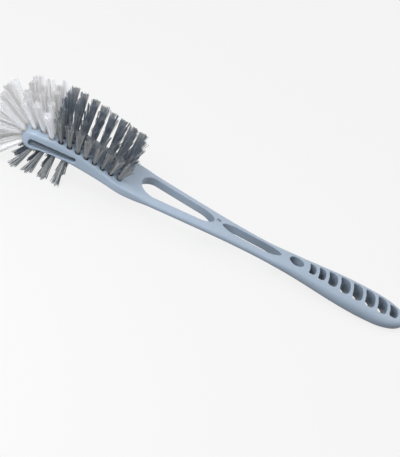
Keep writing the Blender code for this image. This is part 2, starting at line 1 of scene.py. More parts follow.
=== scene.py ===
"""Toilet brush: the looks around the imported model.

The moulding is built again as one smooth solid with soft rims and a drilled hole under every
tuft, and each row of tufts as nylon filaments. All of it is made along the brush's own line,
with x from the nose to the end of the grip, y across, and z height above the back of the grip,
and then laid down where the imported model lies.
"""

import logging
import math
from dataclasses import dataclass, field, replace
from enum import Enum
from typing import Any, Iterable, Sequence

import bpy
import numpy as np
from mathutils import Matrix, Vector


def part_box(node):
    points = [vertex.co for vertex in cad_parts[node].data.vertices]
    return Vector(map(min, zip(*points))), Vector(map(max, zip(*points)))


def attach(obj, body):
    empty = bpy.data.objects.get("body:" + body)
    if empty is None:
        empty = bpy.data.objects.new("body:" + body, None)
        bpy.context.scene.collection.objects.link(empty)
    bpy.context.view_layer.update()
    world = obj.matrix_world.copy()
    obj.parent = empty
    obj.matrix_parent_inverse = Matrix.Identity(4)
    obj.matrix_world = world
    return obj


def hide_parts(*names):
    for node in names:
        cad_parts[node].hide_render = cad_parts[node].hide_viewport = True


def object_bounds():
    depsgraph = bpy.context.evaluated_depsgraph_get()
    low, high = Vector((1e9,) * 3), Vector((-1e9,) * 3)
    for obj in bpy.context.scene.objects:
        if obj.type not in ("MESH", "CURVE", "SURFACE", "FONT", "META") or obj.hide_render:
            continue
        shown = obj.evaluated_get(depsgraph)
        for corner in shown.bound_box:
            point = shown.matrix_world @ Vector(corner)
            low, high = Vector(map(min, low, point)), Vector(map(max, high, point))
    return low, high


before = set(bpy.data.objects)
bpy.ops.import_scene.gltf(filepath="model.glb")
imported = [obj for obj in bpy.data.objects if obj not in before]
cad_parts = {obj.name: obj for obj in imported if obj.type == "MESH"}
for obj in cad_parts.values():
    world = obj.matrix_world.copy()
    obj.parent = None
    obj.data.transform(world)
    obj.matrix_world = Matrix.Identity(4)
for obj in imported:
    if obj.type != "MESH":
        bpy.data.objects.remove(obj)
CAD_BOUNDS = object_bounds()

LOG = logging.getLogger("toilet_brush")
BODY = "root"
GOLDEN_TURN = 2.39996
Colour = tuple[float, float, float, float]
Triple = tuple[float, float, float]
Outline = list[tuple[float, float]]
Stations = Sequence[tuple[float, float]]


class Side(Enum):
    """The two faces of the head that tufts stand on."""

    TOP = 1.0
    BACK = -1.0


class Slot(Enum):
    """The record's material slots."""

    MOULDING = "moulding"
    GREY = "grey_bristle"
    WHITE = "white_bristle"


def mix(start: float, end: float, share: float) -> float:
    """The value that lies the given share of the way from start to end."""
    return start + (end - start) * share


def ramped(values: np.ndarray, start: float, length: float) -> np.ndarray:
    """Shares that are 0 up to start and rise evenly to 1 over the given length."""
    return np.clip((values - start) / length, 0.0, 1.0)


def turns(count: int) -> list[float]:
    """Angles of points that are evenly spread round a circle."""
    return [2.0 * math.pi * index / count for index in range(count)]


def circle(x: float, y: float, radius: float, count: int) -> Outline:
    """A round outline about x and y."""
    return [(x + radius * math.cos(turn), y + radius * math.sin(turn)) for turn in turns(count)]


def linear(red: int, green: int, blue: int) -> Colour:
    """A colour in Blender's linear values from eight-bit screen values.

    Args:
        red, green, blue: Screen values from 0 to 255.

    Returns:
        The linear colour with an alpha of 1.
    """
    shares = [value / 255.0 for value in (red, green, blue)]
    parts = [s / 12.92 if s <= 0.04045 else ((s + 0.055) / 1.055) ** 2.4 for s in shares]
    return (parts[0], parts[1], parts[2], 1.0)


def added(name: str, data: Any) -> bpy.types.Object:
    """Adds an object with the given data to the scene.

    Args:
        name: The object's name.
        data: Its mesh, lamp or camera.

    Returns:
        The object.
    """
    made = bpy.data.objects.new(name, data)
    bpy.context.scene.collection.objects.link(made)
    return made


def points_of(mesh: bpy.types.Mesh) -> np.ndarray:
    """Reads where the points of a mesh are.

    Args:
        mesh: The mesh.

    Returns:
        Their places, one row each.
    """
    places = np.empty(len(mesh.vertices) * 3)
    mesh.vertices.foreach_get("co", places)
    return places.reshape(-1, 3)


def store(mesh: bpy.types.Mesh, name: str, values: np.ndarray) -> None:
    """Stores a number on every point of a mesh, for its material to read."""
    made = mesh.attributes.new(name, "FLOAT", "POINT")
    made.data.foreach_set("value", values.astype(np.float32))


class Term:
    """A socket of a shader graph that takes part in arithmetic."""

    def __init__(self, graph: "Graph", socket: bpy.types.NodeSocket) -> None:
        """Keeps the graph and the output socket."""
        self.graph = graph
        self.socket = socket

    def _math(self, operation: str, first: "Term | float", second: "Term | float") -> "Term":
        """The result of a Math node on two values."""
        return self.graph.node("ShaderNodeMath", {"operation": operation}, {0: first, 1: second})

    def __add__(self, other: "Term | float") -> "Term":
        """This value plus another."""
        return self._math("ADD", self, other)

    def __radd__(self, other: float) -> "Term":
        """A number plus this value."""
        return self._math("ADD", other, self)

    def __sub__(self, other: "Term | float") -> "Term":
        """This value less another."""
        return self._math("SUBTRACT", self, other)

    def __rsub__(self, other: float) -> "Term":
        """A number less this value."""
        return self._math("SUBTRACT", other, self)

    def __mul__(self, other: "Term | float") -> "Term":
        """This value times another."""
        return self._math("MULTIPLY", self, other)

    def __rmul__(self, other: float) -> "Term":
        """A number times this value."""
        return self._math("MULTIPLY", other, self)


class Graph:
    """The node tree of one material, written as expressions."""

    def __init__(self, name: str) -> None:
        """Starts a material with its Principled shader.

        Args:
            name: The material's name.
        """
        self.material = bpy.data.materials.new(name)
        self.material.use_nodes = True
        self.tree = self.material.node_tree
        self.shader = self.tree.nodes["Principled BSDF"]

    def node(
        self,
        kind: str,
        settings: dict[str, Any] | None = None,
        sockets: dict[str | int, Any] | None = None,
        output: str | int = 0,
    ) -> Term:
        """Adds a node, sets it and fills its sockets.

        Args:
            kind: The node's type.
            settings: Its properties; the stops of a ramp are given as "stops".
            sockets: Values or terms by the name or the number of the input.
            output: The output to return.

        Returns:
            The chosen output as a term.
        """
        made = self.tree.nodes.new(kind)
        for name, value in (settings or {}).items():
            if name == "stops":
                self._set_stops(made.color_ramp, value)
            else:
                setattr(made, name, value)
        for name, value in (sockets or {}).items():
            self._fill(made.inputs[name], value)
        return Term(self, made.outputs[output])

    @staticmethod
    def _set_stops(ramp: bpy.types.ColorRamp, stops: Sequence[tuple[float, Colour]]) -> None:
        """Gives a colour ramp its stops.

        Args:
            ramp: The ramp, which starts with two stops.
            stops: Places and colours, from left to right.
        """
        while len(ramp.elements) < len(stops):
            ramp.elements.new(1.0)
        for element, (place, colour) in zip(ramp.elements, stops):
            element.position = place
            element.color = colour

    def _fill(self, socket: bpy.types.NodeSocket, value: Any) -> None:
        """Gives a socket its input.

        Args:
            socket: The socket.
            value: A term to link to it, or its own value.
        """
        if isinstance(value, Term):
            self.tree.links.new(value.socket, socket)
        else:
            socket.default_value = value

    def principled(self, **sockets: Any) -> None:
        """Fills sockets of the Principled shader, named with _ for a space."""
        for name, value in sockets.items():
            self._fill(self.shader.inputs[name.replace("_", " ")], value)

    def place(self) -> Term:
        """The place of a point in the object, in metres."""
        return self.node("ShaderNodeTexCoord", output="Object")

    def stored(self, name: str) -> Term:
        """A number stored on the points of the mesh."""
        return self.node("ShaderNodeAttribute", {"attribute_name": name}, None, "Fac")

    def noise(self, place: Term, size: float, detail: float) -> Term:
        """Cloudy noise.

        Args:
            place: Where it is looked up.
            size: The size of its clouds in metres.
            detail: How many finer layers it has.

        Returns:
            Values about one half.
        """
        sockets = {"Vector": place, "Scale": 1.0 / size, "Detail": detail}
        return self.node("ShaderNodeTexNoise", None, sockets)

    def ramp(self, value: Term, stops: Sequence[tuple[float, Colour]]) -> Term:
        """A colour looked up from a value."""
        return self.node("ShaderNodeValToRGB", {"stops": stops}, {0: value})

    def blend(self, share: Term, first: Term | Colour, second: Term | Colour) -> Term:
        """A mix of two colours, with the given share of the second."""
        settings = {"data_type": "RGBA", "blend_type": "MIX"}
        return self.node("ShaderNodeMix", settings, {0: share, 6: first, 7: second}, 2)

    def bump(self, height: Term, depth: float, strength: float) -> Term:
        """A normal bent by a height of up to the given depth in metres."""
        sockets = {"Strength": strength, "Distance": depth, "Height": height}
        return self.node("ShaderNodeBump", None, sockets)


@dataclass(frozen=True)
class MouldingFinish:
    """Satin moulded plastic, pale blue-grey, with a fine grain and painted shade where little light comes
    in.
    """

    base: Colour = linear(163, 179, 197)
    cloud: Colour = linear(158, 175, 194)
    # Painted shade: the dark colour that the stored shade mixes into the base colour.
    painted_shade: Colour = linear(56, 62, 69)
    roughness: float = 0.35
    roughness_swing: float = 0.08
    refraction: float = 1.49
    cloud_size: float = 0.018
    cloud_detail: float = 2.0
    grain_size: float = 0.00055
    grain_detail: float = 3.0
    grain_depth: float = 0.00004
    grain_strength: float = 0.35

    def material(self) -> bpy.types.Material:
        """Builds the material.

        Returns:
            The finished material.
        """
        graph = Graph("pale_blue_moulding")
        place = graph.place()
        cloud = graph.noise(place, self.cloud_size, self.cloud_detail)
        grain = graph.noise(place, self.grain_size, self.grain_detail)
        plain = graph.blend(cloud, self.base, self.cloud)
        # Painted shade: the base colour darkens by the shade stored on each point.
        graph.principled(
            Base_Color=graph.blend(graph.stored(PaintedShade.SHADE), plain, self.painted_shade),
            Roughness=self.roughness + (grain - 0.5) * self.roughness_swing,
            Normal=graph.bump(grain, self.grain_depth, self.grain_strength),
            IOR=self.refraction,
        )
        return graph.material


@dataclass(frozen=True)
class FilamentFinish:
    """Nylon filament with random tone, painted light and shade, painted shade at the roots and a painted
    glow.
    """

    name: str
    dark: Colour
    middle: Colour
    pale: Colour
    # Painted shade at the filaments' roots, fading out along a share of their length.
    root: Colour
    roughness: float
    # glow: painted light, an emission in the filament's own colour that brightens it without a lamp.
    glow: float
    root_shade_reach: float = 0.22
    refraction: float = 1.53

    def material(self) -> bpy.types.Material:
        """Builds the material.

        Returns:
            The finished material.
        """
        graph = Graph(self.name)
        stops = [(0.0, self.dark), (0.5, self.middle), (1.0, self.pale)]
        # Painted light and shade with random tone: the stored value picks a colour from dark to pale.
        tones = graph.ramp(graph.stored(Filaments.PAINTED_LIGHT_AND_TONE), stops)
        # Painted shade at the roots of the filaments.
        root_shade_share = graph.node(
            "ShaderNodeMapRange",
            {"interpolation_type": "SMOOTHSTEP"},
            {
                "Value": graph.stored(Filaments.REACH),
                "From Min": 0.0,
                "From Max": self.root_shade_reach,
                "To Min": 1.0,
                "To Max": 0.0,
            },
        )
        colour = graph.blend(root_shade_share, tones, self.root)
        graph.principled(
            Base_Color=colour,
            Roughness=self.roughness,
            IOR=self.refraction,
            # Painted glow: the filament gives off light in its own colour.
            Emission_Color=colour,
            Emission_Strength=self.glow,
        )
        return graph.material


# dark, middle and pale run from painted shade to painted light with random tone between; root is painted
# shade.
GREY_NYLON = FilamentFinish(
    name="grey_nylon",
    dark=linear(90, 100, 113),
    middle=linear(128, 134, 140),
    pale=linear(176, 178, 179),
    root=linear(56, 64, 72),
    roughness=0.42,
    glow=0.12,
)
WHITE_NYLON = FilamentFinish(
    name="white_nylon",
    dark=linear(190, 189, 190),
    middle=linear(224, 225, 228),
    pale=linear(241, 242, 247),
    root=linear(176, 172, 166),
    roughness=0.38,
    glow=0.25,
)


class Curve:
    """A smooth function of x through stations, which never swings past a value."""

    def __init__(self, stations: Stations) -> None:
        """Works out the slopes.

        Args:
            stations: Places and values, in order of place.
        """
        self.xs = [x for x, value in stations]
        self.values = [value for x, value in stations]
        self.steps = [after - before for before, after in zip(self.xs, self.xs[1:])]
        slopes = [(self.values[i + 1] - self.values[i]) / step for i, step in enumerate(self.steps)]
        self.tangents = [slopes[0]]
        for before, after in zip(slopes, slopes[1:]):
            same_way = before * after > 0.0
            self.tangents.append(2.0 * before * after / (before + after) if same_way else 0.0)
        self.tangents.append(slopes[-1])

    def __call__(self, x: float) -> float:
        """Looks the curve up.

        Args:
            x: The place along the brush.

        Returns:
            The value there.
        """
        index = 0
        while index < len(self.steps) - 1 and x > self.xs[index + 1]:
            index += 1
        step = self.steps[index]
        share = min(max((x - self.xs[index]) / step, 0.0), 1.0)
        square = share * share
        cube = square * share
        return (
            (2.0 * cube - 3.0 * square + 1.0) * self.values[index]
            + (cube - 2.0 * square + share) * step * self.tangents[index]
            + (3.0 * square - 2.0 * cube) * self.values[index + 1]
            + (cube - square) * step * self.tangents[index + 1]
        )


def between(start: tuple[float, float], end: tuple[float, float], shares: Stations) -> Stations:
    """Stations at given shares of the way from one station to another."""
    return [(mix(start[0], end[0], along), mix(start[1], end[1], change)) for along, change in shares]


def fullness(distance: float, length: float, squareness: float = 2.0) -> float:
    """How full a rounded end is: 0 at its tip, 1 from the given length inward."""
    share = min(max(distance / length, 0.0), 1.0)
    return (1.0 - (1.0 - share) ** squareness) ** (1.0 / squareness)


def quarter(turn: float) -> float:
    """How far a point is from the tip of a rounded end, at a share of its quarter turn."""
    return 1.0 - math.cos(math.pi * 0.5 * turn)


def squared(value: float, squareness: float) -> float:
    """A sine or cosine pushed outward, so that a circle becomes a rounded box."""
    return math.copysign(abs(value) ** (2.0 / squareness), value)


@dataclass
class BrushLine:
    """The moulding's outline along its own line: widths, heights and section."""

    NECK_FLARE = ((0.35, 0.17), (0.67, 0.50), (0.85, 0.85))
    HANDLE_TAPER = ((0.20, 0.145), (0.32, 0.306), (0.56, 0.626), (0.80, 0.901))
    GRIP_SWELL = ((0.23, 0.01), (0.40, 0.17), (0.56, 0.46), (0.73, 0.77), (0.88, 0.95))
    FACE_FALL = ((0.30, 0.22), (0.50, 0.46), (0.78, 0.84))
    CHIN_RISE = ((0.20, 0.48), (0.42, 0.72), (0.68, 0.88))

    field_end_x: float = 0.0950
    neck_x: float = 0.0980
    shoulder_x: float = 0.1270
    waist_x: float = 0.2320
    round_hole_x: float = 0.2630
    grip_x: float = 0.3280
    grip_rest_x: float = 0.3460
    body_length: float = 0.3730
    nose_length: float = 0.0135
    chin_length: float = 0.0125
    end_round_length: float = 0.0300
    end_top_length: float = 0.0110
    first_turn: float = 0.12
    face_peak_x: float = 0.0310
    head_middle_x: float = 0.0500
    head_half: float = 0.0210
    neck_half: float = 0.0262
    waist_half: float = 0.0137
    grip_half: float = 0.0205
    end_half: float = 0.0200
    nose_height: float = 0.0048
    nose_top: float = 0.0156
    head_top: float = 0.0173
    field_end_top: float = 0.0115
    shoulder_top: float = 0.0109
    waist_top: float = 0.01075
    hole_top: float = 0.0129
    grip_top: float = 0.0147
    end_top: float = 0.0136
    chin_back: float = -0.0036
    head_back: float = 0.0022
    neck_back: float = 0.0020
    shoulder_back: float = 0.00255
    waist_back: float = 0.0024
    hole_back: float = 0.0012
    grip_back: float = -0.0005
    grip_rest_back: float = 0.0002
    end_back: float = 0.0036
    rest_land_depth: float = 0.0006
    rim_tip_x: float = 0.0250
    rim_tip_height: float = -0.0230
    nose_plan_squareness: float = 3.0
    nose_squareness: float = 5.0
    head_squareness: float = 6.0
    handle_squareness: float = 2.8
    waist_squareness: float = 2.6
    end_squareness: float = 2.5
    width: Curve = field(init=False)
    top: Curve = field(init=False)
    back: Curve = field(init=False)
    squareness: Curve = field(init=False)

    def __post_init__(self) -> None:
        """Draws the curves through the sizes."""
        head = (self.head_middle_x, self.head_half)
        neck = (self.neck_x, self.neck_half)
        waist = (self.waist_x, self.waist_half)
        grip = (self.grip_x, self.grip_half)
        self.width = Curve(
            [(0.0, self.head_half), head, *between(head, neck, self.NECK_FLARE)]
            + [neck, *between(neck, waist, self.HANDLE_TAPER)]
            + [waist, *between(waist, grip, self.GRIP_SWELL)]
            + [grip, (self.body_length, self.end_half)]
        )
        peak = (self.face_peak_x, self.head_top)
        field_end = (self.field_end_x, self.field_end_top)
        self.top = Curve(
            [(0.0, self.nose_top), (self.nose_length, self.nose_top), peak]
            + [*between(peak, field_end, self.FACE_FALL), field_end]
            + [(self.shoulder_x, self.shoulder_top), (self.waist_x, self.waist_top)]
            + [(self.round_hole_x, self.hole_top), (self.grip_x, self.grip_top)]
            + [(self.body_length, self.end_top)]
        )
        chin = (self.chin_length, self.chin_back)
        head_back = (self.head_middle_x, self.head_back)
        self.back = Curve(
            [(0.0, self.chin_back), chin, *between(chin, head_back, self.CHIN_RISE)]
            + [head_back, (self.neck_x, self.neck_back), (self.shoulder_x, self.shoulder_back)]
            + [(self.waist_x, self.waist_back), (self.round_hole_x, self.hole_back)]
            + [(self.grip_x, self.grip_back), (self.grip_rest_x, self.grip_rest_back)]
            + [(self.body_length, self.end_back)]
        )
        self.squareness = Curve(
            [(0.0, self.nose_squareness), (self.nose_length, self.head_squareness)]
            + [(self.neck_x, self.head_squareness), (self.shoulder_x, self.handle_squareness)]
            + [(self.waist_x, self.waist_squareness), (self.grip_x, self.handle_squareness)]
            + [(self.body_length, self.end_squareness)]
        )

    def half_width(self, x: float) -> float:
        """Half the width of the moulding at x."""
        nose = fullness(x, self.nose_length, self.nose_plan_squareness)
        return self.width(x) * nose * fullness(self.body_length - x, self.end_round_length)

    def _rounded(self, x: float, curve: Curve, nose_round: float) -> float:
        """A height at x, drawn in to the tips of the nose and the grip.

        Args:
            x: The place along the brush.
            curve: The heights of the top or of the back.
            nose_round: The length over which the nose rounds off.

        Returns:
            The height.
        """
        from_nose = mix(self.nose_height, curve(x), fullness(x, nose_round))
        end_middle = mix(self.top(x), self.back(x), 0.5)
        return mix(end_middle, from_nose, fullness(self.body_length - x, self.end_top_length))

    def heights(self, x: float) -> tuple[float, float]:
        """Heights of the back and of the top at x."""
        low = self._rounded(x, self.back, self.chin_length)
        return low, self._rounded(x, self.top, self.nose_length)

    def ring(self, x: float, count: int) -> list[Triple]:
        """The outline of the section at x.

        Args:
            x: The place along the brush.
            count: How many points go round it.

        Returns:
            The points, turned from the left side towards the top.
        """
        low, high = self.heights(x)
        middle, rise = mix(low, high, 0.5), (high - low) * 0.5
        across, power = self.half_width(x), self.squareness(x)
        return [
            (x, across * squared(math.cos(t), power), middle + rise * squared(math.sin(t), power))
            for t in turns(count)
        ]

    def face_point(self, x: float, across: float, side: Side) -> Vector:
        """A point of the surface.

        Args:
            x: Its place along the brush.
            across: Its place across.
            side: Whether it is on the top or on the back.

        Returns:
            The point.
        """
        low, high = self.heights(x)
        power = self.squareness(x)
        sunk = min(abs(across) / self.half_width(x), 1.0) ** power
        rise = (high - low) * 0.5 * (1.0 - sunk) ** (1.0 / power)
        return Vector((x, across, mix(low, high, 0.5) + side.value * rise))

    def pitch(self) -> float:
        """The angle between the brush's own line and what it lies on."""
        land = self.heights(self.grip_rest_x)[0] + self.rest_land_depth
        return math.atan2(land - self.rim_tip_height, self.grip_rest_x - self.rim_tip_x)

    def placing(self) -> Matrix:
        """Works out how the brush lies.

        Returns:
            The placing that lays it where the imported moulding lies.
        """
        turn = Matrix.Rotation(self.pitch(), 4, "Y")
        ground = turn @ Vector((self.rim_tip_x, 0.0, self.rim_tip_height))
        low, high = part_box("brush_body")
        last_x = self.body_length - self.end_round_length * quarter(self.first_turn)
        tip = turn @ Vector((last_x, 0.0, self.heights(last_x)[1]))
        shift = Vector((high.x - tip.x, mix(low.y, high.y, 0.5), -ground.z))
        return Matrix.Translation(shift) @ turn


def loft_faces(rings: int, points: int) -> list[tuple[int, ...]]:
    """Faces of a closed solid through rings of points.

    Args:
        rings: How many rings there are.
        points: How many points each ring has.

    Returns:
        The faces, with one cap at each end.
    """
    last = (rings - 1) * points
    faces = [tuple(range(points - 1, -1, -1))]
    for low in range(0, last, points):
        for index in range(points):
            after = (index + 1) % points
            faces.append((low + index, low + after, low + points + after, low + points + index))
    faces.append(tuple(range(last, last + points)))
    return faces


def solid(name: str, rings: Sequence[Sequence[Any]]) -> bpy.types.Object:
    """Lofts a closed solid.

    Args:
        name: Its name.
        rings: Its rings of points, from one end to the other.

    Returns:
        The solid, in the scene.
    """
    mesh = bpy.data.meshes.new(name)
    points = [point for ring in rings for point in ring]
    mesh.from_pydata(points, [], loft_faces(len(rings), len(rings[0])))
    return added(name, mesh)


def grown(outline: Outline, margin: float) -> Outline:
    """Moves an outline outward.

    Args:
        outline: An anticlockwise outline.
        margin: How far each point moves.

    Returns:
        The wider outline.
    """
    result = []
    for index, (x, y) in enumerate(outline):
        before = Vector(outline[index - 1])
        after = Vector(outline[(index + 1) % len(outline)])
        along = (after - before).normalized()
        result.append((x + along.y * margin, y - along.x * margin))
    return result


@dataclass(frozen=True)
class Tuft:
    """One tuft of filaments: where it stands, where it points and how it fans."""

    root: Vector
    direction: Vector
    length: float
    tip_radius: float
    seed: int
    # How open to the light the tuft stands, which paints its filaments paler or darker.
    exposure: float
    outward: Vector


@dataclass
class Openings:
    """Everything cut through or into the moulding, other than the holes of the tufts."""

    line: BrushLine
    front_start: float = 0.1110
    front_end: float = 0.1820
    front_wide_half: float = 0.0152
    front_wide_round: float = 0.0130
    front_narrow_half: float = 0.0104
    front_narrow_round: float = 0.0170
    rear_start: float = 0.1905
    rear_end: float = 0.2480
    rear_half: float = 0.0065
    rear_round: float = 0.0170
    hole_radius: float = 0.0068
    rim_chamfer: float = 0.0005
    first_rib_x: float = 0.2738
    last_rib_x: float = 0.3646
    rib_thickness: float = 0.0034
    rail_thickness: float = 0.0077
    rib_bulge: float = 0.0014
    window_squareness: float = 4.0
    rib_shares: tuple[float, ...] = (0.0, 0.101, 0.206, 0.333, 0.470, 0.608, 0.745, 0.880, 1.0)
    pocket_front: Triple = (0.0117, 0.0043, 0.0034)
    pocket_rear: Triple = (0.0497, 0.0087, 0.0020)
    pocket_depth: float = 0.0060
    gate_place: tuple[float, float] = (0.1856, 0.0024)
    gate_radius: float = 0.0021
    gate_depth: float = 0.0009
    overrun: float = 0.0100
    arc_steps: int = 18
    round_points: int = 40

    def slot_outline(
        self, start: float, end: float, halves: tuple[float, float], rounds: tuple[float, float]
    ) -> Outline:
        """Anticlockwise outline of a slot along x, with half-ellipse ends.

        Args:
            start, end: Places of its two tips.
            halves: Half widths at the start and at the end.
            rounds: Lengths of the two rounded ends.

        Returns:
            The outline's points.
        """
        ends = (
            (start + rounds[0], rounds[0], halves[0], 0.5),
            (end - rounds[1], rounds[1], halves[1], 1.5),
        )
        steps = range(self.arc_steps + 1)
        return [
            (centre + length * math.cos(angle), half * math.sin(angle))
            for centre, length, half, first_turn in ends
            for angle in (math.pi * (first_turn + k / self.arc_steps) for k in steps)
        ]

    def window_outline(self, before: float, after: float) -> Outline:
        """Outline of a grip window, bent towards the end of the grip.

        Args:
            before, after: Places of the two ribs that it lies between.

        Returns:
            The outline's points.
        """
        centre = mix(before, after, 0.5)
        half_length = (after - before - self.rib_thickness) * 0.5
        half_across = self.line.half_width(centre) - self.rail_thickness
        outline = []
        for turn in turns(self.round_points):
            across = squared(math.sin(turn), self.window_squareness)
            along = half_length * squared(math.cos(turn), self.window_squareness)
            bend = self.rib_bulge * (0.5 - across * across)
            outline.append((centre + along + bend, half_across * across))
        return outline

    def through_outlines(self) -> list[Outline]:
        """Draws the openings that go through.

        Returns:
            The outlines of the slots, the round hole and the windows.
        """
        ribs = [mix(self.first_rib_x, self.last_rib_x, share) for share in self.rib_shares]
        front_halves = (self.front_wide_half, self.front_narrow_half)
        front_rounds = (self.front_wide_round, self.front_narrow_round)
        rear_halves = (self.rear_half, self.rear_half)
        rear_rounds = (self.rear_round, self.rear_round)
        return [
            self.slot_outline(self.front_start, self.front_end, front_halves, front_rounds),
            self.slot_outline(self.rear_start, self.rear_end, rear_halves, rear_rounds),
            circle(self.line.round_hole_x, 0.0, self.hole_radius, self.round_points),
        ] + [self.window_outline(before, after) for before, after in zip(ribs, ribs[1:])]

    def through_cutter(self, outline: Outline) -> bpy.types.Object:
        """A cutter through the moulding that chamfers the rims at its top and back.

        Args:
            outline: The opening's outline.

        Returns:
            The cutter.
        """
        flared = grown(outline, self.rim_chamfer + self.overrun)
        levels = [self.line.heights(x) for x, y in outline]
        below = [(x, y, low - self.overrun) for (x, y), (low, high) in zip(flared, levels)]
        above = [(x, y, high + self.overrun) for (x, y), (low, high) in zip(flared, levels)]
        foot = [(x, y, self.line.face_point(x, y, Side.BACK).z + self.rim_chamfer) for x, y in outline]
        head = [(x, y, self.line.face_point(x, y, Side.TOP).z - self.rim_chamfer) for x, y in outline]
        return solid("through_cutter", [below, foot, head, above])

    def pocket_cutters(self) -> list[bpy.types.Object]:
        """Makes the cutters that sink the pockets into the sides of the head.

        Returns:
            The two cutters, left and right.
        """
        front_x, front_z, front_half = self.pocket_front
        rear_x, rear_z, rear_half = self.pocket_rear
        run, climb = rear_x - front_x, rear_z - front_z
        slant = math.atan2(climb, run)
        halves = (front_half, rear_half)
        level = self.slot_outline(-front_half, math.hypot(run, climb) + rear_half, halves, halves)
        outline = [
            (
                front_x + along * math.cos(slant) - off * math.sin(slant),
                front_z + along * math.sin(slant) + off * math.cos(slant),
            )
            for along, off in level
        ]
        inner = self.line.head_half - self.pocket_depth
        outer = self.line.head_half + self.overrun
        sides = ((outer, inner), (-inner, -outer))
        return [solid("pocket_cutter", [[(x, y, z) for x, z in outline] for y in ends]) for ends in sides]

    def gate_cutter(self) -> bpy.types.Object:
        """Makes the cutter of the shallow round mark that the mould left between the slots.

        Returns:
            The cutter.
        """
        top = self.line.face_point(*self.gate_place, Side.TOP).z
        outline = circle(*self.gate_place, self.gate_radius, self.round_points)
        levels = (top - self.gate_depth, top + self.overrun)
        return solid("gate_cutter", [[(x, y, level) for x, y in outline] for level in levels])

    def cutters(self) -> list[bpy.types.Object]:
        """Every cutter of the openings."""
        through = [self.through_cutter(outline) for outline in self.through_outlines()]
        return through + self.pocket_cutters() + [self.gate_cutter()]


